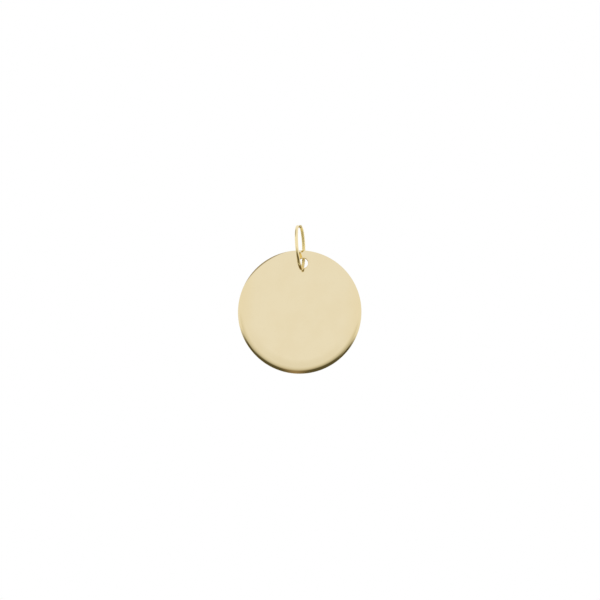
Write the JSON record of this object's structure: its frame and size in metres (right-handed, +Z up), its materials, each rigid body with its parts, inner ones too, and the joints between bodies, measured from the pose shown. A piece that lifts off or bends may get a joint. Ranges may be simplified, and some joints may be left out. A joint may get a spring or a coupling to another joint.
{
  "type": "medallion pendant",
  "caption": "Plain round polished disc pendant, with a small hole near its edge, hanging on a thin cut jump ring of round wire.",
  "frame": {"origin": "the top of the jump ring's inside, midway between its cut ends, where the chain or cord that carries the pendant passes", "axes": "+Z up along the hanging direction, -Y out of the disc's front face, +X to the right as the face is seen"},
  "size_m": [0.016, 0.0059, 0.0191],
  "materials": {
    "disc_gold": "mirror-polished pale yellow gold plate with faint hairlines",
    "wire_gold": "polished drawn yellow gold wire"
  },
  "bodies": {
    "ring": {"jump_ring": "wire_gold"},
    "medallion": {"disc": "disc_gold"}
  },
  "joints": [
    {"name": "disc_swing", "type": "hinge", "parent": "ring", "child": "medallion", "pos_m": [0.00073, 0.00189, -0.00438], "axis": [0, 1, 0], "range_deg": [-70, 60]}
  ]
}
